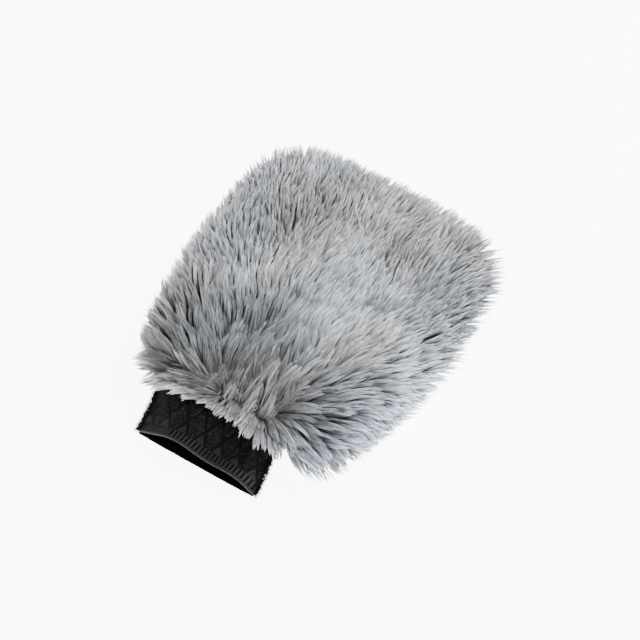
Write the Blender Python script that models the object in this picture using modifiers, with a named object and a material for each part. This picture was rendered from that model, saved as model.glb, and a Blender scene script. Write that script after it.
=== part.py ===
"""Plush wash mitt: a flat two-sided pouch of long-pile plush with a knitted elastic cuff.

The mitt lies flat. +Y runs from the cuff to the closed end, +X across the width, +Z up, and the
origin is under the middle of the whole mitt. The upper and the lower half are the same stack of
cloth layers on either side of the seam plane: lining, wadding, backing and pile. The hand goes in
through the cuff and the neck, and lies between the two linings.

Two hinges let the cuff move. Both axes lie along X on top of the seam where the cuff is sewn on:
the whole cuff folds up, and its upper wall lifts to open the mouth.
"""

import math

import bmesh
import bpy

# Overall size, in metres
BODY_HALF_W = 0.120          # half width over the pile
BODY_FAR_L = 0.1375          # from the core's middle to the pile's closed end
BODY_NEAR_L = 0.1370         # from the core's middle to the pile's end beside the cuff
BODY_Y = 0.0150              # middle of the sewn core
HEIGHT = 0.052               # top of the pile
SEAM_Z = 0.021               # plane in which the two halves are sewn together
CORNER_POWER = 4.4           # superellipse power of the outline
CROWN_POWER = 5              # how flat the pile's top is

# The sewn core inside the pile
CORE_HALF_W = 0.100
CORE_HALF_L = 0.1195
CORE_FALL_POWER = 4          # how late the layers come together towards the seam
POCKET = 0.0055              # half height of the hand pocket in the middle
LINING = 0.0006
WADDING = 0.0042             # in the middle
WADDING_RIM = 0.0012         # where the layers are sewn together
BACKING = 0.0010
GAP = 0.0003                 # between touching layers
PILE_RIM = 0.003             # half thickness of the pile where its rim turns over
LOWER_BULGE = 0.024          # the lower pile's free bulge, before the floor flattens it

# Seam tape and thread round the core
TAPE = 0.0012
THREAD_R = 0.0004
TAPE_ROOM = 0.0036           # space that the tape and its thread take outside the core
TAPE_STEP = 0.0004           # width of the step in the pile over that space
TAPE_END = 0.006             # where the tape stops, from the cuff's sides

# Cuff
CUFF_X = -0.010              # middle of the cuff
CUFF_HALF_W = 0.0531
CUFF_ROOT_Y = -0.1055
CUFF_MOUTH_Y = -0.1525
CUFF_WALL = 0.0018
LENS_POWER = 3               # how boxy the opening between the cuff's walls is
MOUTH_EDGE_Z = 0.004         # height of the mouth's two corners
ROOT_RISE = 0.0075           # half opening at the root
MOUTH_RISE = 0.0165          # how far the upper wall stands off its corners at the mouth
MOUTH_DROP = 0.00155         # how far the lower wall sags under them
HUMP = 0.20                  # share by which the upper wall's two soft humps rise and dip
HUMP_PERIOD = 1.2            # between the humps, in half widths of the cuff
HUMP_SHIFT = 0.33
RIB_BAND = 0.0070            # width of the ribbed border
WELT_R = 0.0010
OVERLOCK_R = 0.0013
JOIN_FROM_ROOT = 0.003       # join stitching, from the cuff's root
JOIN_INSET = 0.002           # and from its sides
OVERLOCK_ENDS = (0.0015, 0.001)  # left free at the root and at the mouth
NECK_FADE = (-0.095, -0.055)  # where the neck runs out into the pocket
NECK_BLEND = 0.008           # over which the core's straight edge turns into its corners
NECK_WIDEST = 0.97           # share of the width up to which the edge is straightened
NEAR_FADE = (0.3, 0.8)       # share of the half length over which that straightening sets in
NOTCH_HALF_W = 0.0585        # gap in the pile that the cuff swings in
BED_ROOM = 0.0016            # between the cuff and the pile under it

# How finely the shapes are cut up
CORE_RINGS = (0.35, 0.62, 0.82, 0.94, 1.0)   # rings of the layers' grids, as shares of the core
RIM_RINGS = (0.45, 0.8, 1.0)                 # rings of the pile outside the core
CUFF_CELLS = 20
SHARP_ANGLE = 40.0           # degrees

COLLECTION = "plush_wash_mitt"
CUTTERS = "cutters"

PILE_GREY = (0.42, 0.43, 0.44)
CLOTH_GREY = (0.24, 0.24, 0.25)
FOAM_WHITE = (0.72, 0.71, 0.68)
LINING_GREY = (0.10, 0.10, 0.11)
KNIT_BLACK = (0.016, 0.016, 0.018)
RIB_GREY = (0.045, 0.047, 0.052)
THREAD_NAVY = (0.012, 0.013, 0.022)


def clear_scene():
    for old in list(bpy.data.objects):
        bpy.data.objects.remove(old, do_unlink=True)


def make_collection(name):
    collection = bpy.data.collections.new(name)
    bpy.context.scene.collection.children.link(collection)
    return collection


def make_material(name, colour, roughness):
    material = bpy.data.materials.new(name)
    material.use_nodes = True
    shader = material.node_tree.nodes["Principled BSDF"]
    shader.inputs["Base Color"].default_value = (*colour, 1.0)
    shader.inputs["Roughness"].default_value = roughness
    shader.inputs["Metallic"].default_value = 0.0
    return material


def mix(a, b, t):
    return a + (b - a) * t


def smooth(t):
    t = min(1.0, max(0.0, t))
    return t * t * (3.0 - 2.0 * t)


# ---------------------------------------------------------------- plans: where a grid's points lie

# A ring is its half width, and its half lengths towards the closed end and towards the cuff.

def core_rings():
    return [(CORE_HALF_W * share, CORE_HALF_L * share, CORE_HALF_L * share) for share in CORE_RINGS]


def grown_core(grow):
    return CORE_HALF_W + grow, CORE_HALF_L + grow, CORE_HALF_L + grow


def pile_rings():
    """The core's rings, the two sides of the step over the seam tape, and the turned-over rim."""
    outer_step = grown_core(TAPE_ROOM + TAPE_STEP)
    outline = (BODY_HALF_W, BODY_FAR_L, BODY_NEAR_L)
    rings = core_rings() + [grown_core(TAPE_ROOM), outer_step]
    for share in RIM_RINGS:
        rings.append(tuple(mix(low, high, share) for low, high in zip(outer_step, outline)))
    return rings


def superellipse(u, v):
    """A point of the unit square's edge, moved out to the unit superellipse."""
    n = CORNER_POWER
    return u * (1 - abs(v) ** n / 2) ** (1 / n), v * (1 - abs(u) ** n / 2) ** (1 / n)


def neck_stretch(x, half_w):
    """How much the near edge is pulled out, so that it is straight where the cuff is sewn on."""
    n = CORNER_POWER
    off = abs(x - CUFF_X) - CUFF_HALF_W
    share = smooth(1.0 - off / NECK_BLEND)
    across = min(NECK_WIDEST, abs(x) / half_w)
    return mix(1.0, 1.0 / (1 - across ** n) ** (1 / n), share)


def body_point(u, v, ring):
    """A point of one ring of the body: (u, v) lies on the unit square's edge."""
    half_w, far_l, near_l = ring
    ex, ey = superellipse(u, v)
    x = half_w * ex
    if ey >= 0:
        return x, BODY_Y + far_l * ey
    y = near_l * ey
    low, high = NEAR_FADE
    share = smooth((-ey - low) / (high - low))
    stretched = max(y * neck_stretch(x, max(CORE_HALF_W, half_w)), -near_l)
    return x, BODY_Y + mix(y, stretched, share)


def body_plan(rings):
    """Maps a square grid onto nested rounded outlines, one ring of the grid to each."""
    def plan(u, v):
        size = max(abs(u), abs(v))
        index = round(size * len(rings))
        if index == 0:
            return 0.0, BODY_Y, 0.0
        ring = rings[index - 1]
        x, y = body_point(u / size, v / size, ring)
        return x, y, ring[0]
    return plan


def cuff_plan(y_root, y_mouth):
    def plan(u, v):
        return CUFF_X + CUFF_HALF_W * u, mix(y_mouth, y_root, (v + 1) / 2), 0.0
    return plan


# ---------------------------------------------------------------- heights above the seam plane

def lens(x):
    across = min(1.0, abs(x - CUFF_X) / CUFF_HALF_W)
    return 1.0 - across ** LENS_POWER


def core_fall(half_w):
    return 1.0 - min(1.0, half_w / CORE_HALF_W) ** CORE_FALL_POWER


def pocket_height(x, y, half_w):
    low, high = NECK_FADE
    neck = ROOT_RISE * lens(x) * smooth((high - y) / (high - low))
    return GAP / 2 + max(POCKET * core_fall(half_w), neck)


def wadding_thickness(half_w):
    return mix(WADDING_RIM, WADDING, core_fall(half_w))


def lining_outside(x, y, half_w):
    return pocket_height(x, y, half_w) + LINING


def wadding_inside(x, y, half_w):
    return lining_outside(x, y, half_w) + GAP


def wadding_outside(x, y, half_w):
    return wadding_inside(x, y, half_w) + wadding_thickness(half_w)


def backing_inside(x, y, half_w):
    return wadding_outside(x, y, half_w) + GAP


def backing_outside(x, y, half_w):
    return backing_inside(x, y, half_w) + BACKING


def pile_inside(x, y, half_w):
    if half_w <= CORE_HALF_W + TAPE_ROOM:
        return backing_outside(x, y, half_w) + GAP
    return GAP / 2


def pile_crown(half_w):
    return math.sqrt(max(0.0, 1.0 - (half_w / BODY_HALF_W) ** CROWN_POWER))


def upper_pile_outside(x, y, half_w):
    return mix(PILE_RIM, HEIGHT - SEAM_Z, pile_crown(half_w))


def lower_pile_outside(x, y, half_w):
    return min(SEAM_Z, mix(PILE_RIM, PILE_RIM + LOWER_BULGE, pile_crown(half_w)))


# ---------------------------------------------------------------- heights of the cuff's walls

def along_cuff(y):
    return (CUFF_ROOT_Y - y) / (CUFF_ROOT_Y - CUFF_MOUTH_Y)


def cuff_edge_z(y):
    return mix(SEAM_Z, MOUTH_EDGE_Z, smooth(along_cuff(y)))


def mouth_swell(x):
    """The upper wall's two soft humps at the mouth."""
    across = (x - CUFF_X) / CUFF_HALF_W
    return 1.0 + HUMP * math.cos(2 * math.pi * (across + HUMP_SHIFT) / HUMP_PERIOD)


def upper_wall_inside(x, y, half_w=0.0):
    rise = mix(ROOT_RISE, MOUTH_RISE * mouth_swell(x), along_cuff(y))
    return cuff_edge_z(y) + GAP / 2 + rise * lens(x)


def upper_wall_outside(x, y, half_w=0.0):
    return upper_wall_inside(x, y) + CUFF_WALL


def lower_wall_inside(x, y, half_w=0.0):
    drop = mix(ROOT_RISE, MOUTH_DROP, smooth(along_cuff(y)))
    return cuff_edge_z(y) - GAP / 2 - drop * lens(x)


def lower_wall_outside(x, y, half_w=0.0):
    return lower_wall_inside(x, y) - CUFF_WALL


# ---------------------------------------------------------------- builders

def add_object(name, mesh, material, collection):
    obj = bpy.data.objects.new(name, mesh)
    collection.objects.link(obj)
    if material is not None:
        mesh.materials.append(material)
    return obj


def add_slab(name, cells, plan, inside, outside, material, collection):
    """A closed layer between two height surfaces over the same grid."""
    bm = bmesh.new()
    bmesh.ops.create_grid(bm, x_segments=cells[0], y_segments=cells[1], size=1.0)
    skin = [face for face in bm.faces]
    lifted = bmesh.ops.extrude_face_region(bm, geom=skin)["geom"]
    top = {part for part in lifted if isinstance(part, bmesh.types.BMVert)}
    for vert in bm.verts:
        x, y, half_w = plan(vert.co.x, vert.co.y)
        height = outside if vert in top else inside
        vert.co = (x, y, height(x, y, half_w))
    bmesh.ops.recalc_face_normals(bm, faces=bm.faces)
    mesh = bpy.data.meshes.new(name)
    bm.to_mesh(mesh)
    bm.free()
    mesh.shade_smooth()
    mesh.set_sharp_from_angle(angle=math.radians(SHARP_ANGLE))
    return add_object(name, mesh, material, collection)


def add_body_layer(name, side, rings, inside, outside, material, collection):
    """A layer of the body, over the seam plane for side 1 and under it for side -1."""
    def lift(height):
        return lambda x, y, half_w: SEAM_Z + side * height(x, y, half_w)
    cells = (2 * len(rings), 2 * len(rings))
    return add_slab(name, cells, body_plan(rings), lift(inside), lift(outside), material, collection)


def add_tube(name, points, radius, material, collection):
    curve = bpy.data.curves.new(name, "CURVE")
    curve.dimensions = "3D"
    curve.bevel_depth = radius
    curve.bevel_resolution = 2
    curve.use_fill_caps = True
    spline = curve.splines.new("POLY")
    spline.points.add(len(points) - 1)
    for slot, point in zip(spline.points, points):
        slot.co = (*point, 1.0)
    return add_object(name, curve, material, collection)


def seam_line(grow):
    """Points round the core, from the right of the cuff by the closed end to its left."""
    cells = 2 * len(CORE_RINGS)
    ring = grown_core(grow)
    edge_half_w = superellipse(1.0, 1.0)[0] * CORE_HALF_W
    right_end = (CUFF_X + CUFF_HALF_W + TAPE_END) / edge_half_w
    left_end = (CUFF_X - CUFF_HALF_W - TAPE_END) / edge_half_w
    steps = [-1 + 2 * i / cells for i in range(cells + 1)]
    square = [(right_end, -1.0)]
    square += [(u, -1.0) for u in steps if right_end < u < 1]
    square += [(1.0, v) for v in steps]
    square += [(u, 1.0) for u in reversed(steps) if -1 < u < 1]
    square += [(-1.0, v) for v in reversed(steps)]
    square += [(u, -1.0) for u in steps if -1 < u < left_end]
    square.append((left_end, -1.0))
    return [body_point(u, v, ring) for u, v in square]


def add_seam_tape(material, collection):
    """A flat tape round the edges of all the layers, a strip thickened outwards."""
    half_height = backing_outside(CORE_HALF_W, BODY_Y, CORE_HALF_W) - GAP / 2
    line = seam_line(GAP)
    bm = bmesh.new()
    low = [bm.verts.new((x, y, SEAM_Z - half_height)) for x, y in line]
    high = [bm.verts.new((x, y, SEAM_Z + half_height)) for x, y in line]
    for i in range(len(line) - 1):
        bm.faces.new((low[i], low[i + 1], high[i + 1], high[i]))
    mesh = bpy.data.meshes.new("perimeter_seam_tape")
    bm.to_mesh(mesh)
    bm.free()
    tape = add_object("perimeter_seam_tape", mesh, material, collection)
    thicken = tape.modifiers.new("thickness", "SOLIDIFY")
    thicken.thickness = TAPE
    thicken.offset = 1.0
    return tape


def add_notch_cutter(collection):
    """The gap in the pile's near rim that the cuff swings in, open above a bed for the cuff."""
    back = BODY_Y - CORE_HALF_L - GAP

    def plan(u, v):
        return CUFF_X + NOTCH_HALF_W * u, mix(CUFF_MOUTH_Y, back, (v + 1) / 2), 0.0

    def bed(x, y, half_w):
        return lower_wall_outside(x, y) - BED_ROOM

    def sky(x, y, half_w):
        return 2 * HEIGHT

    cutter = add_slab("cuff_notch", (12, 4), plan, bed, sky, None, collection)
    cutter.display_type = "WIRE"
    cutter.hide_render = True
    return cutter


def cut(obj, cutter):
    modifier = obj.modifiers.new("notch", "BOOLEAN")
    modifier.operation = "DIFFERENCE"
    modifier.solver = "EXACT"
    modifier.object = cutter


def cuff_arch(wall, lift, y, inset):
    """Points across the cuff at one y, lifted off one of its wall surfaces."""
    left = CUFF_X - CUFF_HALF_W + inset
    right = CUFF_X + CUFF_HALF_W - inset
    xs = [mix(left, right, i / CUFF_CELLS) for i in range(CUFF_CELLS + 1)]
    return [(x, y, wall(x, y) + lift) for x in xs]


# ---------------------------------------------------------------- the mitt

def build_body(parts, cutters):
    pile = make_material("pile", PILE_GREY, 0.95)
    cloth = make_material("backing_cloth", CLOTH_GREY, 0.9)
    foam = make_material("wadding_foam", FOAM_WHITE, 0.95)
    lining = make_material("lining_cloth", LINING_GREY, 0.8)
    tape = make_material("seam_tape", KNIT_BLACK, 0.85)
    thread = make_material("body_thread", THREAD_NAVY, 0.7)
    notch = add_notch_cutter(cutters)
    core = core_rings()
    for half, side, pile_top in (("upper", 1, upper_pile_outside), ("lower", -1, lower_pile_outside)):
        add_body_layer(f"{half}_lining", side, core, pocket_height, lining_outside, lining, parts)
        add_body_layer(f"{half}_wadding", side, core, wadding_inside, wadding_outside, foam, parts)
        add_body_layer(f"{half}_backing", side, core, backing_inside, backing_outside, cloth, parts)
        shell = add_body_layer(f"{half}_pile", side, pile_rings(), pile_inside, pile_top, pile, parts)
        cut(shell, notch)
    add_seam_tape(tape, parts)
    line = seam_line(GAP + TAPE + 3 * GAP + THREAD_R)
    points = [(x, y, SEAM_Z) for x, y in line]
    add_tube("perimeter_stitching", points, THREAD_R, thread, parts)


def build_cuff(parts):
    knit = make_material("cuff_knit", KNIT_BLACK, 0.85)
    ribs = make_material("cuff_rib", RIB_GREY, 0.8)
    welt = make_material("cuff_welt", RIB_GREY, 0.6)
    thread = make_material("overlock_thread", THREAD_NAVY, 0.7)
    welt_y = CUFF_MOUTH_Y + WELT_R
    band_mouth = welt_y + WELT_R + GAP
    band_root = band_mouth + RIB_BAND
    panel_plan = cuff_plan(CUFF_ROOT_Y, band_root + GAP)
    band_plan = cuff_plan(band_root, band_mouth)
    walls = (("upper", 1, upper_wall_inside, upper_wall_outside),
             ("lower", -1, lower_wall_inside, lower_wall_outside))
    for half, side, inside, outside in walls:
        add_slab(f"cuff_{half}_panel", (CUFF_CELLS, 5), panel_plan, inside, outside, knit, parts)
        add_slab(f"cuff_{half}_rib_band", (CUFF_CELLS, 1), band_plan, inside, outside, ribs, parts)
        edge = cuff_arch(inside, side * (WELT_R + GAP / 2), welt_y, WELT_R)
        add_tube(f"cuff_{half}_welt", edge, WELT_R, welt, parts)
        join = cuff_arch(outside, side * (GAP + THREAD_R), CUFF_ROOT_Y - JOIN_FROM_ROOT, JOIN_INSET)
        add_tube(f"cuff_{half}_join_stitching", join, THREAD_R, thread, parts)
    add_overlocks(thread, parts)


def add_overlocks(thread, parts):
    """The rolled thread edges that close the cuff's two sides."""
    root_free, mouth_free = OVERLOCK_ENDS
    count = 10
    rows = [mix(CUFF_ROOT_Y - root_free, CUFF_MOUTH_Y + mouth_free, i / count) for i in range(count + 1)]
    for name, side in (("left", -1), ("right", 1)):
        x = CUFF_X + side * (CUFF_HALF_W + GAP + OVERLOCK_R)
        points = [(x, y, cuff_edge_z(y)) for y in rows]
        add_tube(f"cuff_{name}_overlock", points, OVERLOCK_R, thread, parts)


def main():
    clear_scene()
    parts = make_collection(COLLECTION)
    cutters = make_collection(CUTTERS)
    build_body(parts, cutters)
    build_cuff(parts)


main()
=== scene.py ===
"""Looks of the plush wash mitt: a long-pile pouch with a knitted cuff, on a white table.

The fur is real geometry. Single strands grow from a rounded skin over the sewn core, gather into
small tufts and these into locks, and lie away from a parting beside the cuff. The cuff is knitted
cloth with a sunk lattice, a ribbed border, a rolled welt and overlocked sides. Lengths are in
metres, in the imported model's frame: +Y runs from the cuff to the closed end, +Z is up.
"""
import math

import bpy
import numpy as np
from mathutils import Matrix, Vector
from mathutils.kdtree import KDTree


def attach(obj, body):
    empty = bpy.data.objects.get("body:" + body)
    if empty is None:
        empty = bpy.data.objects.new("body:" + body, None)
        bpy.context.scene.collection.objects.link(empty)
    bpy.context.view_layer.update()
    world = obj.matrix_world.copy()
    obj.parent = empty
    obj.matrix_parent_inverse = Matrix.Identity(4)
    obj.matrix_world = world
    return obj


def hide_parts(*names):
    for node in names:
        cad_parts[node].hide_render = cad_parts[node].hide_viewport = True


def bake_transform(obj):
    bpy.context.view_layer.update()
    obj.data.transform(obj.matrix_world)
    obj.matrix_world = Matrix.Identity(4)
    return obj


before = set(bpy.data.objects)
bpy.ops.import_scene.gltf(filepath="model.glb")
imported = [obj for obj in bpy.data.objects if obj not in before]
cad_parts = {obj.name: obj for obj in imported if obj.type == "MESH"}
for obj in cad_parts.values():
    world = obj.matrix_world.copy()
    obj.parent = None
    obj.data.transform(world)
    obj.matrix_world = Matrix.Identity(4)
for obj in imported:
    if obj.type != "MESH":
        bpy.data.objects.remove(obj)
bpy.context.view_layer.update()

# ---------------------------------------------------------------- sizes shared with the CAD

BODY_Y = 0.0150              # middle of the sewn core
SEAM_Z = 0.021               # plane in which the two halves are sewn together
CORNER_POWER = 4.4           # superellipse power of the outline
CORE_HALF_W = 0.100
CORE_HALF_L = 0.1195
CORE_FALL_POWER = 4          # how late the layers come together towards the seam
POCKET = 0.0055              # half height of the hand pocket in the middle
LINING = 0.0006
WADDING = 0.0042             # in the middle
WADDING_RIM = 0.0012         # where the layers are sewn together
BACKING = 0.0010
GAP = 0.0003                 # between touching layers
TAPE_ROOM = 0.0036           # width that the tape takes outside the core
NECK_FADE = (-0.095, -0.055)  # where the neck runs out into the pocket
NECK_BLEND = 0.008           # over which the core's straight edge turns into its corners
NECK_WIDEST = 0.97           # share of the width up to which the edge is straightened
NEAR_FADE = (0.3, 0.8)       # share of the half length over which that straightening sets in
NOTCH_HALF_W = 0.0585        # gap in the seam that the cuff goes through
CUFF_X = -0.010              # middle of the cuff
CUFF_HALF_W = 0.0531
CUFF_ROOT_Y = -0.1055
CUFF_MOUTH_Y = -0.1525
CUFF_WALL = 0.0018
LENS_POWER = 3               # how boxy the opening between the cuff's walls is
MOUTH_EDGE_Z = 0.004         # height of the mouth's two corners
ROOT_RISE = 0.0075           # half opening at the root
MOUTH_RISE = 0.0165          # how far the upper wall stands off its corners at the mouth
MOUTH_DROP = 0.00155         # how far the lower wall sags under them
HUMP = 0.20                  # share by which the upper wall's two soft humps rise and dip
HUMP_PERIOD = 1.2            # between the humps, in half widths of the cuff
HUMP_SHIFT = 0.33
RIB_BAND = 0.0070            # width of the ribbed border
WELT_R = 0.0010

HALVES = {"upper": 1, "lower": -1}   # and the side of the seam plane that each is on
TABLE_GAP = 0.0003           # least height of cloth over the table
BODY_CELLS = (96, 120)       # across and along a layer of the body

# ---------------------------------------------------------------- the pile

SKIN_HALF_W = 0.106          # rounded skin that the strands grow from
SKIN_FAR_L = 0.1240
SKIN_NEAR_L = 0.1197
SKIN_RISE = 0.0165
SKIN_SINK = 0.0140
SKIN_CROWN_POWER = 5         # how flat the skin's top is
PARTING = ((-0.015, -0.1000), (0.021, -0.0970))
PARTING_LEAST_Y = -0.1005
PILE_NEAR = 0.0420           # strand length beside the cuff
PILE_FAR = 0.0250            # and at the closed end
RIM_LENGTH = 0.0170          # strand length at the skin's rim
PILE_FLOOR = 0.0008          # least height of the strands over the table
TRIM_LEFT = (0.1095, 0.1255)  # half widths that the pile is trimmed to, beside the cuff and far from it
TRIM_RIGHT = (0.1080, 0.1358)
TRIM_FAR = 0.1400            # and its lengths from BODY_Y
TRIM_NEAR = 0.1405
TRIM_POWER = (7.0, 13.0)     # roundness of its corners beside the cuff and far from it
UPPER_GRIDS = ((36, 38), (76, 88), (264, 324))   # across and along: locks, tufts and strands
LOWER_GRIDS = ((36, 42), (64, 74), (136, 168))
FRINGE_GRIDS = ((50, 3), (120, 7), (560, 24))
SEAM_FRINGE_GRIDS = ((40, 2), (460, 18))   # locks and strands
FRINGE_V = -0.86             # the fringe grows from the skin's cells up to here
FRINGE_HANG = ((-0.066, -0.128), (-0.018, -0.117), (0.014, -0.121),
               (0.033, -0.130), (0.050, -0.128))   # X and Y of the fringe's lower edge
FRINGE_LIMITS = ((0.024, 0.037), (0.7, 1.1), (1.5, 1.9))   # length, first and last lean
BODY_FRINGE_END = -0.1150    # the pouch's own fringe ends here; the seam's fringe goes on over the cuff
SEAM_FRINGE_Y = (-0.1135, -0.1062)   # where the seam's fringe is rooted on the cuff
CLOSE_PARENTS = 7            # locks that a tuft chooses from, and tufts that a strand does
NAP_SHARE = 0.30             # how much a gap along the nap counts, against one across it
STRAND_RINGS = (0.0, 0.30, 0.58, 0.82)   # shares of a strand's length
STRAND_TAPER = (0.75, 1.0, 0.86, 0.55)   # and its radius there, before its point
STRAND_SIDES = 3
STRANDS_A_PIECE = 9000

# Patches of the coat, partly its own tone and partly painted light: the two dark ones beside the cuff
# are painted shade, the pale cool ones over the middle and at the right edge are a painted highlight.
# Centre, size, change of tone, change of coolness.
TONE_AND_LIGHT_PATCHES = (((-0.030, -0.062), (0.065, 0.030), -0.13, 0.0),
           ((-0.002, 0.066), (0.026, 0.034), 0.24, 0.50),
           ((0.030, 0.020), (0.026, 0.034), 0.24, 0.50),
           ((0.100, 0.000), (0.030, 0.050), 0.13, 0.20),
           ((-0.009, 0.124), (0.026, 0.018), -0.14, -0.35),
           ((0.022, 0.116), (0.020, 0.018), -0.12, -0.35),
           ((0.062, 0.056), (0.022, 0.035), -0.16, -0.35),
           ((-0.056, 0.060), (0.026, 0.022), -0.12, -0.15),
           ((-0.014, -0.012), (0.016, 0.014), -0.14, 0.0),
           ((-0.012, 0.092), (0.030, 0.028), -0.17, -0.35),
           ((0.058, 0.078), (0.030, 0.030), -0.09, -0.30),
           ((0.084, 0.108), (0.024, 0.030), -0.15, -0.40),
           ((0.003, -0.064), (0.040, 0.026), -0.20, 0.45),
           ((-0.065, 0.092), (0.025, 0.025), 0.09, 0.0),
           ((0.003, 0.021), (0.030, 0.022), 0.08, 0.30))
PAINTED_LIGHT_ROOTS = ((0.080, -0.080), (0.035, 0.055), 0.34)   # spot at the near right edge whose strands are pale down to the root: painted light
BASE_TONE = 0.46             # of the whole coat, from 0 dark to 1 pale
PAINTED_NEAR_SHADE = -0.17            # painted shade: the coat is darker beside the cuff, where its ends lie open in shade
# painted shade: strands are darker along the parting, where the coat opens
PAINTED_PARTING_SHADE = -0.10

# ---------------------------------------------------------------- the cuff and the seam round the core

MOUTH_FLARE = 0.0040         # the knit spreads to the right at the mouth
ROOT_FLARE = 0.0030          # and to the left at the root
BAND_MOUTH_Y = CUFF_MOUTH_Y + 2 * WELT_R + GAP
BAND_ROOT_Y = BAND_MOUTH_Y + RIB_BAND
CUFF_COLUMNS = 240
KNIT_ROWS = 84
BAND_ROWS = 20
LATTICE_WIDTH = 0.0164       # between neighbouring lattice lines
LATTICE_HEIGHT = 0.0308
LATTICE_LINE = 0.00110       # half width of a line
HEATHER_TOP = 0.0100         # height of the pale triangles over the ribbed border
RIB_PITCH = 0.0035
RIB_START = 0.26             # share of the width that the border is plain on the left
OVERLOCK_PITCH = 0.0014
FUZZ_FIBRES = 900            # on each side of the cuff
TAPE_HALF_H = 0.0030

# ---------------------------------------------------------------- the stage

BODY_CENTRE = Vector((0.0, BODY_Y, 0.022))
TABLE_HALF = 6.0
CAMERA_AZIMUTH = 32.0
CAMERA_ELEVATION = 58.0
CAMERA_DISTANCE = 2.188
CAMERA_LENS = 150.0
CAMERA_AIM = (0.0082, 0.0099, 0.0142)

PI = math.pi
UP = np.array([0.0, 0.0, 1.0])
TO_MOUTH = np.array([0.0, -1.0, 0.0])


# ---------------------------------------------------------------- small maths

def mix(a, b, t):
    return a + (b - a) * t


def smooth(t):
    t = np.clip(t, 0.0, 1.0)
    return t * t * (3.0 - 2.0 * t)


def unit(vectors):
    length = np.linalg.norm(vectors, axis=-1, keepdims=True)
    return vectors / np.maximum(length, 1e-9)


def make_noise(seed, scale, waves=14):
    """A smooth field of about -1..1 over points, whose bumps are about scale across."""
    rng = np.random.default_rng(seed)
    directions = unit(rng.normal(size=(waves, 3)))
    rates = directions * (PI / scale) * rng.uniform(0.5, 1.3, (waves, 1))
    phases = rng.uniform(0, 2 * PI, waves)

    def field(points):
        return np.sin(points @ rates.T + phases).sum(-1) / math.sqrt(waves / 2)
    return field


# ---------------------------------------------------------------- meshes

def make_mesh(name, points, faces, material, uv=None):
    """An object from an array of points and arrays of faces, each with one number of corners."""
    mesh = bpy.data.meshes.new(name)
    points = np.asarray(points, np.float32).reshape(-1, 3)
    faces = [np.asarray(group, np.int32) for group in faces if len(group)]
    corners = np.concatenate([group.ravel() for group in faces])
    sizes = np.concatenate([np.full(len(group), group.shape[1], np.int32) for group in faces])
    starts = np.concatenate(([0], np.cumsum(sizes)[:-1])).astype(np.int32)
    mesh.vertices.add(len(points))
    mesh.vertices.foreach_set("co", points.ravel())
    mesh.loops.add(len(corners))
    mesh.loops.foreach_set("vertex_index", corners)
    mesh.polygons.add(len(sizes))
    mesh.polygons.foreach_set("loop_start", starts)
    if uv is not None:
        layer = mesh.uv_layers.new(name="OFBake")
        layer.data.foreach_set("uv", np.asarray(uv, np.float32).ravel())
    mesh.polygons.foreach_set("use_smooth", np.full(len(sizes), True))
    mesh.update(calc_edges=True)
    mesh.materials.append(material)
    obj = bpy.data.objects.new(name, mesh)
    bpy.context.scene.collection.objects.link(obj)
    return obj


def set_attribute(obj, name, values):
    attribute = obj.data.attributes.new(name, "FLOAT", "POINT")
    attribute.data.foreach_set("value", np.asarray(values, np.float32).ravel())


def grid_faces(rows, columns, first=0, flip=False):
    """Quads of a grid of points stored row by row."""
    index = np.arange(rows * columns).reshape(rows, columns) + first
    quads = np.stack([index[:-1, :-1], index[:-1, 1:], index[1:, 1:], index[1:, :-1]], -1)
    quads = quads.reshape(-1, 4)
    return quads[:, ::-1] if flip else quads


def rim_faces(rows, columns, lower_first, upper_first):
    """Quads that join the edges of two grids of the same size."""
    index = np.arange(rows * columns).reshape(rows, columns)
    edge = np.concatenate([index[0, :-1], index[:-1, -1], index[-1, :0:-1], index[:0:-1, 0]])
    after = np.roll(edge, -1)
    return np.stack([edge + lower_first, after + lower_first,
                     after + upper_first, edge + upper_first], -1)


def make_slab(name, inside, outside, material, side):
    """A closed layer between two grids of points; outside lies over inside where side is 1."""
    rows, columns = inside.shape[:2]
    count = rows * columns
    low, high = (inside, outside) if side > 0 else (outside, inside)
    points = np.concatenate([low.reshape(-1, 3), high.reshape(-1, 3)])
    faces = np.concatenate([grid_faces(rows, columns, 0, flip=True),
                            grid_faces(rows, columns, count),
                            rim_faces(rows, columns, 0, count)])
    return make_mesh(name, points, [faces], material)


def finish_piece(obj, body, slot, *nodes):
    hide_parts(*nodes)
    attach(obj, body)
    return obj


# ---------------------------------------------------------------- materials

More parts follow.
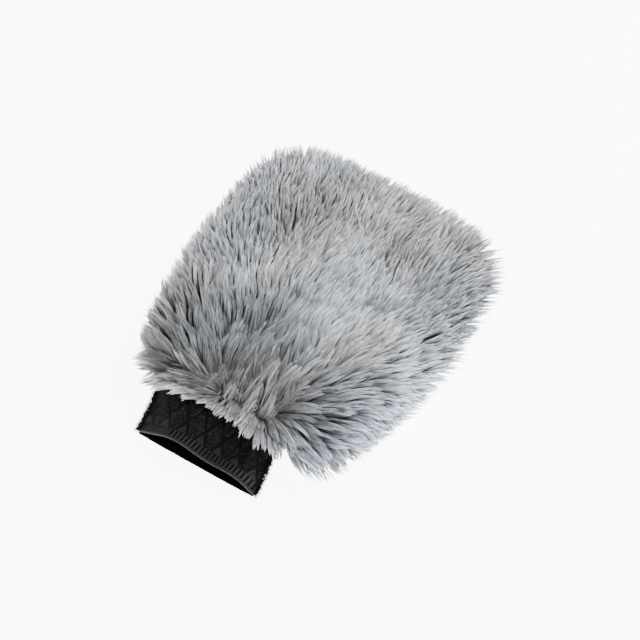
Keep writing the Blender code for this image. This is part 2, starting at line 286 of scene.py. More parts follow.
class Nodes:
    """Short calls for building one material's node tree."""

    def __init__(self, name):
        self.material = bpy.data.materials.new(name)
        self.material.use_nodes = True
        self.tree = self.material.node_tree
        self.shader = self.tree.nodes["Principled BSDF"]

    def put(self, kind, **settings):
        node = self.tree.nodes.new(kind)
        for key, value in settings.items():
            setattr(node, key, value)
        return node

    def link(self, value, socket):
        if isinstance(value, bpy.types.NodeSocket):
            self.tree.links.new(value, socket)
        else:
            socket.default_value = value

    def math(self, operation, first, second=0.0):
        node = self.put("ShaderNodeMath", operation=operation)
        self.link(first, node.inputs[0])
        self.link(second, node.inputs[1])
        return node.outputs[0]

    def attribute(self, name):
        return self.put("ShaderNodeAttribute", attribute_name=name).outputs["Fac"]

    def position(self):
        return self.put("ShaderNodeTexCoord").outputs["Object"]

    def noise(self, scale, detail, on_cloth=False):
        """Noise over space, or over each point's place on the cloth at rest."""
        node = self.put("ShaderNodeTexNoise")
        node.inputs["Scale"].default_value = scale
        node.inputs["Detail"].default_value = detail
        if on_cloth:
            where = self.put("ShaderNodeAttribute", attribute_name="cloth").outputs["Vector"]
        else:
            where = self.position()
        self.link(where, node.inputs["Vector"])
        return node.outputs["Fac"]

    def ramp(self, value, stops):
        node = self.put("ShaderNodeValToRGB")
        ramp = node.color_ramp
        while len(ramp.elements) < len(stops):
            ramp.elements.new(0.5)
        for element, (place, colour) in zip(ramp.elements, stops):
            element.position = place
            element.color = (*colour, 1.0)
        self.link(value, node.inputs[0])
        return node.outputs[0]

    def blend(self, kind, amount, first, second):
        node = self.put("ShaderNodeMix", data_type="RGBA", blend_type=kind)
        self.link(amount, node.inputs[0])
        self.link(first, node.inputs[6])
        self.link(second, node.inputs[7])
        return node.outputs[2]

    def bump(self, height, distance):
        node = self.put("ShaderNodeBump")
        node.inputs["Distance"].default_value = distance
        self.link(height, node.inputs["Height"])
        self.tree.links.new(node.outputs[0], self.shader.inputs["Normal"])

    def set(self, **values):
        """Sets the shader's inputs, whose names are given with underscores, and gives the material."""
        for key, value in values.items():
            self.link(value, self.shader.inputs[key.replace("_", " ")])
        return self.material


def grey(value, blue=0.0):
    return (value * (1 - blue), value, value * (1 + blue))


def fur_material(name):
    """Painted shade that darkens each strand towards its root, a tone for each strand and lock, and a
    soft sheen.
    """
    nodes = Nodes(name)
    along = nodes.attribute("along")
    tone = nodes.attribute("tone")
    cool = nodes.attribute("cool")
    # painted shade: dark at the root and pale at the tip, standing in for the shade deep in the pile
    painted_root_shade = nodes.ramp(along, [(0.0, grey(0.034, -0.08)), (0.35, grey(0.115, -0.02)),
                               (0.70, grey(0.31, 0.01)), (1.0, grey(0.78, 0.02))])
    tint = nodes.ramp(cool, [(0.0, (1.05, 1.0, 0.94)), (1.0, (0.90, 0.99, 1.12))])
    coloured = nodes.blend("MULTIPLY", 1.0, painted_root_shade, tint)
    level = nodes.ramp(tone, [(0.0, grey(0.30)), (0.5, grey(1.0)), (1.0, grey(1.9))])
    return nodes.set(Base_Color=nodes.blend("MULTIPLY", 1.0, coloured, level), Roughness=0.40,
                     Specular_IOR_Level=0.5, Sheen_Weight=0.25, Sheen_Roughness=0.4)


def undercoat_material():
    nodes = Nodes("undercoat_fluff")
    fleck = nodes.noise(900.0, 3.0)
    patch = nodes.noise(60.0, 2.0)
    colour = nodes.ramp(fleck, [(0.3, grey(0.05, -0.04)), (0.75, grey(0.14))])
    tint = nodes.ramp(patch, [(0.3, (0.75, 0.73, 0.7)), (0.7, (1.1, 1.1, 1.12))])
    nodes.bump(fleck, 0.0012)
    return nodes.set(Base_Color=nodes.blend("MULTIPLY", 1.0, colour, tint), Roughness=0.95)


def woven_material(name, dark, light, pitch):
    """Plain weave: threads crossing in X and Y, one over the other."""
    nodes = Nodes(name)
    split = nodes.put("ShaderNodeSeparateXYZ")
    nodes.link(nodes.position(), split.inputs[0])
    across, along = [nodes.math("SINE", nodes.math("MULTIPLY", split.outputs[axis], PI / pitch))
                     for axis in (0, 1)]
    crossing = nodes.math("MULTIPLY", across, along)
    height = nodes.math("ADD", nodes.math("MULTIPLY", crossing, 0.5), 0.5)
    worn = nodes.math("MULTIPLY", nodes.noise(140.0, 4.0), 0.35)
    mixed = nodes.math("ADD", nodes.math("MULTIPLY", height, 0.75), worn)
    nodes.bump(height, pitch * 0.25)
    return nodes.set(Base_Color=nodes.ramp(mixed, [(0.15, dark), (0.95, light)]), Roughness=0.85)


def foam_material():
    nodes = Nodes("wadding_foam")
    cells = nodes.put("ShaderNodeTexVoronoi")
    cells.inputs["Scale"].default_value = 800.0
    nodes.link(nodes.position(), cells.inputs["Vector"])
    pores = cells.outputs["Distance"]
    stain = nodes.noise(45.0, 3.0)
    colour = nodes.ramp(pores, [(0.1, (0.42, 0.40, 0.36)), (0.5, (0.74, 0.72, 0.67))])
    tint = nodes.ramp(stain, [(0.3, (0.93, 0.9, 0.84)), (0.7, (1.0, 1.0, 1.0))])
    nodes.bump(pores, 0.0006)
    return nodes.set(Base_Color=nodes.blend("MULTIPLY", 1.0, colour, tint), Roughness=0.95)


def thread_material(name, dark, light):
    nodes = Nodes(name)
    ply = nodes.noise(2600.0, 2.0)
    nodes.bump(ply, 0.00015)
    return nodes.set(Base_Color=nodes.ramp(ply, [(0.3, dark), (0.7, light)]), Roughness=0.6,
                     Sheen_Weight=0.3)


# ---------------------------------------------------------------- the body's shape

def superellipse(u, v):
    n = CORNER_POWER
    return u * (1 - np.abs(v) ** n / 2) ** (1 / n), v * (1 - np.abs(u) ** n / 2) ** (1 / n)


def neck_stretch(x, half_w):
    """How far the outline's near edge is pulled straight beside the cuff."""
    off = np.abs(x - CUFF_X) - CUFF_HALF_W
    share = smooth(1.0 - off / NECK_BLEND)
    across = np.minimum(NECK_WIDEST, np.abs(x) / half_w)
    return mix(1.0, 1.0 / (1 - across ** CORNER_POWER) ** (1 / CORNER_POWER), share)


def outline(u, v, half_w, far_l, near_l):
    """Points of the rounded outline; (u, v) lies on the unit square's edge."""
    ex, ey = superellipse(u, v)
    x = half_w * ex
    start, end = NEAR_FADE
    share = smooth((-ey - start) / (end - start))
    stretched = near_l * ey * neck_stretch(x, np.maximum(CORE_HALF_W, half_w))
    near_y = mix(near_l * ey, np.maximum(stretched, -near_l), share)
    return x, BODY_Y + np.where(ey < 0, near_y, far_l * ey)


def lens(x):
    """Share of the full opening between the cuff's walls: 1 in the middle, 0 at the sides."""
    across = np.minimum(1.0, np.abs(x - CUFF_X) / CUFF_HALF_W)
    return 1.0 - across ** LENS_POWER


def layer_heights(x, y, half_w):
    """Heights off the seam plane of both faces of each layer of the core, from the pocket out."""
    fall = 1.0 - np.minimum(1.0, half_w / CORE_HALF_W) ** CORE_FALL_POWER
    low, high = NECK_FADE
    neck = ROOT_RISE * lens(x) * smooth((high - y) / (high - low))
    pocket = GAP / 2 + np.maximum(POCKET * fall, neck)
    lining = pocket + LINING
    wadding = lining + GAP + mix(WADDING_RIM, WADDING, fall)
    backing = wadding + GAP + BACKING
    return {"lining": (pocket, lining), "wadding": (lining + GAP, wadding),
            "backing": (wadding + GAP, backing)}


def square_grid():
    """An even grid over the square from -1 to 1."""
    columns, rows = BODY_CELLS
    return np.meshgrid(np.linspace(-1, 1, columns + 1), np.linspace(-1, 1, rows + 1))


def square_rings(u, v):
    """How far out each point of the square is, and its direction on the square's edge."""
    size = np.maximum(np.abs(u), np.abs(v))
    safe = np.maximum(size, 1e-6)
    return size, np.clip(u / safe, -1, 1), np.clip(v / safe, -1, 1)


def core_layers(side):
    """Name of each layer on one side of the sewn core, with the grids of its two faces."""
    size, edge_u, edge_v = square_rings(*square_grid())
    half_w = CORE_HALF_W * size
    half_l = CORE_HALF_L * size
    x, y = outline(edge_u, edge_v, half_w, half_l, half_l)
    for name, heights in layer_heights(x, y, half_w).items():
        yield name, [np.stack([x, y, SEAM_Z + side * height], -1) for height in heights]


def ring_table():
    """Share of the half width against share of the way over the skin, so that rings are even."""
    share = np.linspace(0, 1, 400)
    width = SKIN_HALF_W * share
    height = SKIN_RISE * np.sqrt(1 - share ** SKIN_CROWN_POWER)
    steps = np.hypot(np.diff(width), np.diff(height))
    way = np.concatenate(([0], np.cumsum(steps)))
    return way / way[-1], share


RING_WAY, RING_SHARE = ring_table()


def skin_point(u, v, side):
    """Points of the skin, over the seam plane for side 1 and under it for side -1."""
    size, edge_u, edge_v = square_rings(u, v)
    share = np.interp(size, RING_WAY, RING_SHARE)
    half_w = SKIN_HALF_W * share
    x, y = outline(edge_u, edge_v, half_w, SKIN_FAR_L * share, SKIN_NEAR_L * share)
    dome = (SKIN_RISE if side > 0 else SKIN_SINK) * np.sqrt(np.maximum(0, 1 - share ** SKIN_CROWN_POWER))
    core = layer_heights(x, y, half_w)["backing"][1] + 2 * GAP
    near_core = np.where(half_w < CORE_HALF_W + TAPE_ROOM, core, 0.0)
    over_neck = smooth((CUFF_HALF_W + 0.004 - np.abs(x - CUFF_X)) / 0.006) * smooth((-0.075 - y) / 0.015)
    height = np.maximum(dome, np.maximum(near_core, core * over_neck))
    return np.stack([x, y, SEAM_Z + side * height], -1)


def skin_frame(u, v, side):
    """Points of the skin and its outward normals."""
    step = 0.01
    here = skin_point(u, v, side)
    across = skin_point(np.minimum(u + step, 1), v, side) - skin_point(np.maximum(u - step, -1), v, side)
    along = skin_point(u, np.minimum(v + step, 1), side) - skin_point(u, np.maximum(v - step, -1), side)
    normal = unit(np.cross(across, along)) * side
    return here, normal


# ---------------------------------------------------------------- the cuff's shape

def cuff_x(across, y):
    """X on the cuff; across is -1 at its left side and 1 at its right side."""
    way = along_cuff(y)
    flare = MOUTH_FLARE * way * np.maximum(across, 0) - ROOT_FLARE * (1 - way) * np.maximum(-across, 0)
    return CUFF_X + CUFF_HALF_W * across + flare


def along_cuff(y):
    """0 at the cuff's root and 1 at its mouth."""
    return (CUFF_ROOT_Y - y) / (CUFF_ROOT_Y - CUFF_MOUTH_Y)


def cuff_edge_z(y):
    return mix(SEAM_Z, MOUTH_EDGE_Z, smooth(along_cuff(y)))


def mouth_swell(x):
    """The two soft humps of the upper wall at the mouth."""
    across = (x - CUFF_X) / CUFF_HALF_W
    return 1.0 + HUMP * np.cos(2 * PI * (across + HUMP_SHIFT) / HUMP_PERIOD)


def upper_wall_inside(x, y):
    rise = mix(ROOT_RISE, MOUTH_RISE * mouth_swell(x), along_cuff(y))
    return cuff_edge_z(y) + GAP / 2 + rise * lens(x)


def lower_wall_inside(x, y):
    drop = mix(ROOT_RISE, MOUTH_DROP, smooth(along_cuff(y)))
    return cuff_edge_z(y) - GAP / 2 - drop * lens(x)


# ---------------------------------------------------------------- the fur

flow_noise = make_noise(11, 0.032)
fine_flow_noise = make_noise(12, 0.010)
lift_noise = make_noise(13, 0.018)
tone_noise = make_noise(14, 0.030)
cool_noise = make_noise(15, 0.050)


def parting_gap(points):
    """The level way to each point from the nearest point of the parting."""
    start, end = np.array(PARTING[0]), np.array(PARTING[1])
    line = end - start
    share = np.clip(((points[..., :2] - start) @ line) / (line @ line), 0, 1)
    return points[..., :2] - (start + share[..., None] * line)


def parting_distance(points):
    return np.linalg.norm(parting_gap(points), axis=-1)


def comb_direction(points):
    """The nap's level direction: away from the parting beside the cuff, a little wavy."""
    away = unit(parting_gap(points))
    turn = 0.17 * flow_noise(points) + 0.12 * fine_flow_noise(points)
    cos, sin = np.cos(turn), np.sin(turn)
    x = away[..., 0] * cos - away[..., 1] * sin
    y = away[..., 0] * sin + away[..., 1] * cos
    return np.stack([x, y, np.zeros_like(x)], -1)


def table_height(points):
    return np.full(len(points), PILE_FLOOR)


def cuff_height(points):
    """The table, or the top of the cuff where a point is over it."""
    x, y = points[:, 0], points[:, 1]
    over = (np.abs(x - CUFF_X) < CUFF_HALF_W + 0.001) & (y < CUFF_ROOT_Y) & (y > CUFF_MOUTH_Y)
    return np.where(over, upper_wall_inside(x, y) + CUFF_WALL + 0.0010, PILE_FLOOR)


def trim_share(points):
    """1 on the outline that the pile is trimmed to, less inside it."""
    x, y = points[..., 0], points[..., 1]
    widen = smooth((y + 0.10) / 0.16)
    across = np.where(x < 0, -x / mix(*TRIM_LEFT, widen), x / mix(*TRIM_RIGHT, widen))
    along = np.where(y < BODY_Y, (BODY_Y - y) / TRIM_NEAR, (y - BODY_Y) / TRIM_FAR)
    power = np.where(y < BODY_Y, *TRIM_POWER)
    return (across ** power + along ** power) ** (1 / power)


def trim(lines, rim, rng):
    """Shortens lines that pass the outline, and at the rim also lengthens those that miss it."""
    root, tip = trim_share(lines[:, 0]), trim_share(lines[:, -1])
    size = (1.0 - root) / np.maximum(tip - root, 0.01)
    size = np.clip(size * (1.0 + rng.normal(0, 0.03, len(lines))), 0.35, mix(1.0, 1.9, rim))
    return lines[:, :1] + (lines - lines[:, :1]) * size[:, None, None]


def hang_fringe(lines, rng, least):
    """Sizes the fringe's lines so that their tips reach its lower edge over the cuff, or Y least."""
    root, tip = lines[:, 0], lines[:, -1]
    places, levels = np.array(FRINGE_HANG).T
    level = np.maximum(np.interp(tip[:, 0], places, levels), least)
    level = level + rng.normal(0, 0.0022, len(lines))
    size = (root[:, 1] - level) / np.maximum(root[:, 1] - tip[:, 1], 0.004)
    return lines[:, :1] + (lines - lines[:, :1]) * np.clip(size, 0.45, 1.35)[:, None, None]


def grow(roots, normals, combed, lengths, lean, bend, ground, steps=12, droop=0.35):
    """Centre lines: each starts near the normal and leans over along the nap as it goes."""
    count = len(roots)
    line = np.empty((count, steps + 1, 3))
    line[:, 0] = roots
    start_angle, end_angle = lean
    side = unit(np.cross(normals, combed))
    for step in range(steps):
        share = (step + 0.5) / steps
        angle = (start_angle + (end_angle - start_angle) * share)[:, None]
        sideways = side * (bend * share)[:, None]
        direction = normals * np.cos(angle) + combed * np.sin(angle) + sideways
        direction[:, 2] -= droop * share
        line[:, step + 1] = line[:, step] + unit(direction) * (lengths / steps)[:, None]
        line[:, step + 1, 2] = np.maximum(line[:, step + 1, 2], ground(line[:, step + 1]))
    return line


def own_parent(lines, parents):
    """The parent of each line: one whose root is close by, and closest measured across the nap."""
    tree = KDTree(len(parents))
    for index, root in enumerate(parents[:, 0]):
        tree.insert(root, index)
    tree.balance()
    roots = lines[:, 0]
    found = np.array([[entry[1] for entry in tree.find_n(root, CLOSE_PARENTS)] for root in roots])
    gap = parents[found, 0] - roots[:, None]
    nap = unit(lines[:, -1] - roots)[:, None]
    along = (gap * nap).sum(-1)
    across = np.linalg.norm(gap - along[..., None] * nap, axis=-1)
    choice = np.argmin(across ** 2 + (NAP_SHARE * along) ** 2, axis=1)
    rows = np.arange(len(lines))
    return found[rows, choice], across[rows, choice]


def gather(lines, parents, kin, strength, power):
    """Pulls lines towards their parent's line, more towards the tips."""
    share = np.linspace(0, 1, lines.shape[1])[None, :, None]
    pull = strength[:, None, None] * share ** power
    root_gap = lines[:, :1] - parents[kin][:, :1]
    target = parents[kin] + root_gap * 0.06
    return mix(lines, target, pull)


def jitter_grid(columns, rows, v_end, spread, rng):
    """Points of the square up to v_end, one in each grid cell; spread under 1 opens the near rows."""
    u, v = np.meshgrid(np.arange(columns), np.arange(rows))
    u = (u + rng.uniform(0, 1, u.shape)) / columns * 2 - 1
    v = ((v + rng.uniform(0, 1, v.shape)) / rows) ** spread * (v_end + 1) - 1
    return u.ravel(), v.ravel()


def coat_shape(roots, normals, side):
    """Length, first and last lean off the normal, and share of rim, for the coat's lines."""
    far = smooth((roots[:, 1] + 0.08) / 0.16)
    rim = 1.0 - smooth(normals[:, 2] * side / 0.7)
    flat = 1.0 - smooth(parting_distance(roots) / 0.022)
    length = mix(mix(PILE_NEAR, PILE_FAR, far), RIM_LENGTH, rim)
    return length, mix(mix(0.60, 1.05, flat), 0.60, rim), mix(1.52, 1.25, rim), rim


def comb_down(combed, roots, least, most):
    """Turns the nap over the cuff towards its mouth, most on the left."""
    down = mix(least, most, smooth((-roots[:, 0] - 0.020) / 0.03))
    return unit(combed + down[:, None] * TO_MOUTH)


def coat_lines(columns, rows, side, seed, keep, wild, spread=1.0, v_end=1.0, fringe=False):
    """Centre lines for one level of the coat: strands, tufts or locks. wild is how unlike they are."""
    rng = np.random.default_rng(seed)
    u, v = jitter_grid(columns, rows, v_end, spread, rng)
    roots, normals = skin_frame(u, v, side)
    kept = keep(roots)
    roots, normals = roots[kept], normals[kept]
    count = len(roots)
    hang = smooth((-roots[:, 0] - 0.050) / 0.02) * smooth((-roots[:, 1] - 0.080) / 0.02)
    combed = unit(comb_direction(roots) + 1.5 * hang[:, None] * TO_MOUTH)
    length, start, end, rim = coat_shape(roots, normals, side)
    if fringe:
        combed = comb_down(combed, roots, 0.55, 1.2)
        length, start, end = [rng.uniform(*limits, count) for limits in FRINGE_LIMITS]
    length = length * (1.0 + 0.05 * lift_noise(roots) + rng.normal(0, 0.08 * wild, count))
    start = start + 0.06 * lift_noise(roots + 0.3) + rng.normal(0, 0.10 * wild, count)
    end = end + 0.10 * lift_noise(roots + 0.7) + rng.normal(0, 0.10 * wild, count)
    bend = rng.normal(0, 0.24 * wild, count)
    ground = cuff_height if fringe else table_height
    lines = grow(roots, normals, combed, length, (start, end), bend, ground)
    return hang_fringe(lines, rng, BODY_FRINGE_END) if fringe else trim(lines, rim, rng)


def strand_layout(sides, stations):
    """Faces of one tapered strand, quads and then triangles, and the flat place of each corner."""
    quads, tris, places = [], [], []
    for ring in range(len(stations) - 1):
        low, high = stations[ring], stations[ring + 1]
        for side in range(sides):
            first, after = ring * sides + side, ring * sides + (side + 1) % sides
            quads.append((first, after, after + sides, first + sides))
            left, right = side / sides, (side + 1) / sides
            places += [(left, low), (right, low), (right, high), (left, high)]
    last = (len(stations) - 1) * sides
    for side in range(sides):
        tris.append((last + side, last + (side + 1) % sides, last + sides))
        left, right = side / sides, (side + 1) / sides
        places += [(left, stations[-1]), (right, stations[-1]), ((left + right) / 2, 1.0)]
    tris.append(tuple(range(sides - 1, -1, -1)))
    places += [(0.6, 0.0), (0.3, 0.0), (0.0, 0.0)]
    return np.array(quads), np.array(tris), np.array(places)


def sample_lines(lines, reach, stations):
    """Points of each line at the stations, for a strand that uses that share of the line."""
    steps = lines.shape[1] - 1
    place = np.clip(reach[:, None] * np.array(stations)[None, :] * steps, 0, steps - 1e-6)
    low = place.astype(int)
    part = (place - low)[..., None]
    row = np.arange(len(lines))[:, None]
    return lines[row, low] * (1 - part) + lines[row, low + 1] * part


def build_strands(name, lines, reach, radius, tone, cool, bared, material, flat=0.55):
    """Closed tapered strands on the given centre lines, as one object."""
    sides, stations = STRAND_SIDES, STRAND_RINGS
    rings, count = len(stations), len(lines)
    centres = sample_lines(lines, reach, (*stations, 1.0))
    tangent = unit(np.gradient(centres, axis=1))
    across = unit(np.cross(tangent, UP) + 1e-6)
    over = unit(np.cross(across, tangent))
    size = radius[:, None] * np.array(STRAND_TAPER)
    turn = 2 * PI * np.arange(sides) / sides + PI / 2
    ring_points = (centres[:, :rings, None]
                   + across[:, :rings, None] * (size[..., None] * np.cos(turn))[..., None]
                   + over[:, :rings, None] * (size[..., None] * np.sin(turn) * flat)[..., None])
    points = np.concatenate([ring_points.reshape(count, rings * sides, 3), centres[:, -1:]], 1)
    quads, tris, layout = strand_layout(sides, stations)
    per = rings * sides + 1
    first = (np.arange(count) * per)[:, None, None]
    all_quads = (quads[None] + first).reshape(-1, 4)
    all_tris = (tris[None] + first).reshape(-1, 3)
    cells_v = max(1, int(math.sqrt(count / 2.5)))
    cells_u = math.ceil(count / cells_v)
    cell = np.stack([np.arange(count) % cells_u, np.arange(count) // cells_u], -1)
    flat_uv = (cell[:, None] + 0.08 + layout[None] * 0.84) / np.array([cells_u, cells_v])
    quad_corners = len(quads) * 4
    uv = np.concatenate([flat_uv[:, :quad_corners].reshape(-1, 2),
                         flat_uv[:, quad_corners:].reshape(-1, 2)])
    obj = make_mesh(name, points, [all_quads, all_tris], material, uv)
    # along drives the painted root shade of the fur; bared lifts it towards the tip's colour
    along = np.concatenate([np.repeat(stations, sides), [1.0]])
    set_attribute(obj, "along", mix(along[None], 1.0, bared[:, None]))
    set_attribute(obj, "tone", np.repeat(tone, per))
    set_attribute(obj, "cool", np.repeat(cool, per))
    return obj


def spot(points, centre, size):
    """1 at the centre of a soft spot of the coat, less round it."""
    off = (points[:, :2] - np.array(centre)) / np.array(size)
    return np.exp(-(off ** 2).sum(-1))


def patch_change(points, which):
    """How the patches, partly painted light and shade, change tone (2) or coolness (3) at points."""
    return sum(patch[which] * spot(points, *patch[:2]) for patch in TONE_AND_LIGHT_PATCHES)


def make_coat(side, grids, seed, keep, **region):
    """All strands of one side: strands gather into tufts, and tufts into locks."""
    lock_grid, tuft_grid, strand_grid = grids
    locks = coat_lines(*lock_grid, side, seed + 1, keep, 1.0, 0.72, **region)
    tufts = coat_lines(*tuft_grid, side, seed + 2, keep, 1.2, 0.85, **region)
    strands = coat_lines(*strand_grid, side, seed + 3, keep, 0.4, **region)
    rng = np.random.default_rng(seed + 4)
    tuft_kin, _ = own_parent(tufts, locks)
    far = smooth((tufts[:, 0, 1] + 0.07) / 0.12)
    pull = mix(0.90, 0.35, far) + rng.uniform(-0.14, 0.10, len(tufts))
    tufts = gather(tufts, locks, tuft_kin, pull, 1.1)
    kin, off_middle = own_parent(strands, tufts)
    strands = gather(strands, tufts, kin, rng.uniform(0.78, 1.0, len(strands)), 0.65)
    near = 1.0 - smooth((locks[:, 0, 1] + 0.09) / 0.10)
    lock_tone = rng.normal(0, 0.05, len(locks)) * (1.0 + 0.5 * near)
    tuft_tone = rng.normal(0, 0.17, len(tufts))
    roots = strands[:, 0]
    tone = BASE_TONE + 0.08 * tone_noise(roots) + tuft_tone[kin] + lock_tone[tuft_kin[kin]]
    # the patches and the band beside the cuff add painted light and shade to the coat's own tone
    tone = tone + patch_change(roots, 2) + PAINTED_NEAR_SHADE * (1.0 - smooth((roots[:, 1] + 0.10) / 0.075))
    # painted shade along the parting
    tone = tone + PAINTED_PARTING_SHADE * (1.0 - smooth(parting_distance(roots) / 0.020))
    tone = np.clip(tone + rng.normal(0, 0.10, len(strands)), 0.02, 0.98)
    cool = 0.50 + 0.25 * cool_noise(roots) + 0.15 * roots[:, 0] / 0.1 + patch_change(roots, 3)
    cool = np.clip(cool, 0, 1)
    off_middle = np.clip(off_middle / (2.2 * off_middle.mean()), 0, 1)
    reach = 1.0 - 0.30 * off_middle - 0.22 * rng.uniform(0, 1, len(strands)) ** 1.5
    far = smooth((roots[:, 1] + 0.06) / 0.17)
    radius = mix(0.00042, 0.00032, far) * rng.uniform(0.7, 1.25, len(strands))
    # bared takes the painted root shade off: partly near the parting, fully in the spot of painted light
    bared = 0.30 * (1.0 - smooth(parting_distance(roots) / 0.012))
    bared = bared + PAINTED_LIGHT_ROOTS[2] * spot(roots, *PAINTED_LIGHT_ROOTS[:2])
    return strands, reach, radius, tone, cool, bared


def split_coat(half, coat, material):
    """Objects of at most STRANDS_A_PIECE strands, band by band from the cuff to the closed end."""
    order = np.argsort(coat[0][:, 0, 1], kind="stable")
    groups = np.array_split(order, math.ceil(len(order) / STRANDS_A_PIECE))
    for number, group in enumerate(groups, start=1):
        part = [values[group] for values in coat]
        obj = build_strands(f"{half}_fur_{number}", *part, material)
        finish_piece(obj, "mitt_body", "pile", f"{half}_pile")


def beside_cuff(points, margin):
    return np.abs(points[:, 0] - CUFF_X) < CUFF_HALF_W + margin


def past_parting(roots, shift):
    """Roots on the cuff's side of the parting, moved by shift and a little ragged."""
    start, end = np.array(PARTING[0]), np.array(PARTING[1])
    slope = (end[1] - start[1]) / (end[0] - start[0])
    parting_y = start[1] + slope * (roots[:, 0] - start[0]) + 0.0012 * fine_flow_noise(roots)
    return roots[:, 1] < np.maximum(parting_y, PARTING_LEAST_Y) + shift


def keep_upper(roots):
    return ~(beside_cuff(roots, 0.004) & past_parting(roots, -0.0015))


def keep_fringe(roots):
    return beside_cuff(roots, 0.010) & past_parting(roots, 0.0030)


def keep_lower(roots):
    return ~(beside_cuff(roots, 0.003) & (roots[:, 1] < -0.098))


def add_pile(fur):
    split_coat("upper", make_coat(1, UPPER_GRIDS, 100, keep_upper), fur)
    split_coat("lower", make_coat(-1, LOWER_GRIDS, 200, keep_lower), fur)
    fringe = make_coat(1, FRINGE_GRIDS, 300, keep_fringe, v_end=FRINGE_V, fringe=True)
    piece = build_strands("body_fringe", *fringe, fur)
    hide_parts("upper_pile")
    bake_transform(piece)


def seam_fringe_lines(columns, rows, seed, wild):
    """Fringe lines that start at the seam, on the cuff's upper wall, and lie along it."""
    rng = np.random.default_rng(seed)
    u, v = jitter_grid(columns, rows, 1.0, 1.0, rng)
    x = CUFF_X + (CUFF_HALF_W + 0.0020) * u
    y = mix(*SEAM_FRINGE_Y, (v + 1) / 2)
    over = upper_wall_inside(np.clip(x, CUFF_X - CUFF_HALF_W, CUFF_X + CUFF_HALF_W), y)
    roots = np.stack([x, y, over + CUFF_WALL + 0.0008], -1)
    count = len(roots)
    combed = comb_down(comb_direction(roots), roots, 0.45, 1.1)
    normals = np.tile(UP, (count, 1))
    start = rng.normal(0.80, 0.12 * wild, count)
    end = rng.normal(1.60, 0.12 * wild, count)
    length = rng.uniform(0.016, 0.022, count)
    bend = rng.normal(0, 0.22 * wild, count)
    lines = grow(roots, normals, combed, length, (start, end), bend, cuff_height)
    return hang_fringe(lines, rng, -1.0)


def make_seam_fringe(seed):
    """Strands of the seam's fringe, gathered into locks."""
    locks = seam_fringe_lines(*SEAM_FRINGE_GRIDS[0], seed + 1, 1.0)
    strands = seam_fringe_lines(*SEAM_FRINGE_GRIDS[1], seed + 2, 0.4)
    rng = np.random.default_rng(seed + 3)
    count = len(strands)
    kin, off_middle = own_parent(strands, locks)
    strands = gather(strands, locks, kin, rng.uniform(0.70, 1.0, count), 0.8)
    off_middle = np.clip(off_middle / (2.2 * off_middle.mean()), 0, 1)
    reach = 1.0 - 0.30 * off_middle - 0.25 * rng.uniform(0, 1, count) ** 1.5
    tone = 0.40 + rng.normal(0, 0.14, len(locks))[kin] + rng.normal(0, 0.10, count)
    tone = tone + 0.10 * smooth((-strands[:, 0, 0] - 0.02) / 0.02)
    radius = 0.00040 * rng.uniform(0.7, 1.25, count)
    cool = np.clip(0.5 + rng.normal(0, 0.1, count), 0, 1)
    return strands, reach, radius, np.clip(tone, 0.02, 0.98), cool, np.full(count, 0.15)


def add_seam_fringe(fur):
    ride_cuff(build_strands("seam_fringe", *make_seam_fringe(400), fur), "pile", "upper_pile")


# ---------------------------------------------------------------- undercoat and sewn core

def undercoat(side):
    """The grids of the two faces of the matted fluff between the core and the strands' roots."""
    u, v = square_grid()
    outside = skin_point(u, v, side)
    half_w = np.interp(square_rings(u, v)[0], RING_WAY, RING_SHARE) * SKIN_HALF_W
    x, y = outside[..., 0], outside[..., 1]
    core = layer_heights(x, y, half_w)["backing"][1] + GAP
    height = np.where(half_w < CORE_HALF_W + TAPE_ROOM, core, GAP / 2)
    inside = np.stack([x, y, SEAM_Z + side * height], -1)
    outside[..., 2] = SEAM_Z + side * np.maximum(side * (outside[..., 2] - SEAM_Z), height + 0.0004)
    return inside, outside


def add_undercoats():
    fluff = undercoat_material()
    for half, side in HALVES.items():
        coat = make_slab(f"{half}_undercoat", *undercoat(side), fluff, side)
        finish_piece(coat, "mitt_body", "pile", f"{half}_pile")


def add_core():
    materials = {
        "backing": woven_material("backing_weave", (0.12, 0.12, 0.125), (0.30, 0.30, 0.31), 0.0009),
        "lining": woven_material("lining_weave", (0.012, 0.012, 0.013), (0.05, 0.05, 0.053), 0.0007),
        "wadding": foam_material()}
    for half, side in HALVES.items():
        for layer, faces in core_layers(side):
            obj = make_slab(f"{half}_{layer}_cloth", *faces, materials[layer], side)
            finish_piece(obj, "mitt_body", layer, f"{half}_{layer}")


# ---------------------------------------------------------------- cuff

def ride_cuff(obj, slot, *nodes):
    """Hides the CAD parts that the piece stands in for, and bakes its transform into its points."""
    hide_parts(*nodes)
    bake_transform(obj)


def keep_cloth_place(obj):
    """Keeps each point's place on the cloth at rest, so that the knit's pattern moves with it."""
    vertices = obj.data.vertices
    places = np.empty(3 * len(vertices), np.float32)
    vertices.foreach_get("co", places)
    attribute = obj.data.attributes.new("cloth", "FLOAT_VECTOR", "POINT")
    attribute.data.foreach_set("vector", places)


def triangle_wave(value):
    """0 at whole numbers, 1 halfway between."""
    return 1.0 - np.abs(1.0 - 2.0 * (value % 1.0))


def lattice(x, y):
    """Sunk lines crossing in diamonds, and the pale triangles under the first crossings."""
    across = (x - CUFF_X) / LATTICE_WIDTH
    up = (y - BAND_ROOT_Y - HEATHER_TOP) / LATTICE_HEIGHT
    nearest_line = np.full(x.shape, 1.0)
    for value in (across + up, across - up):
        nearest_line = np.minimum(nearest_line, triangle_wave(value) / 2 * LATTICE_WIDTH)
    line = 1.0 - smooth((nearest_line - LATTICE_LINE * 0.5) / LATTICE_LINE)
    way_down = np.clip(-up * LATTICE_HEIGHT / HEATHER_TOP, 0, 1)
    off_middle = triangle_wave(across) / 2 * LATTICE_WIDTH
    half_base = way_down * HEATHER_TOP * LATTICE_WIDTH / LATTICE_HEIGHT
    heather = smooth((half_base - off_middle) / 0.0012) * smooth(way_down / 0.6)
    return line, heather


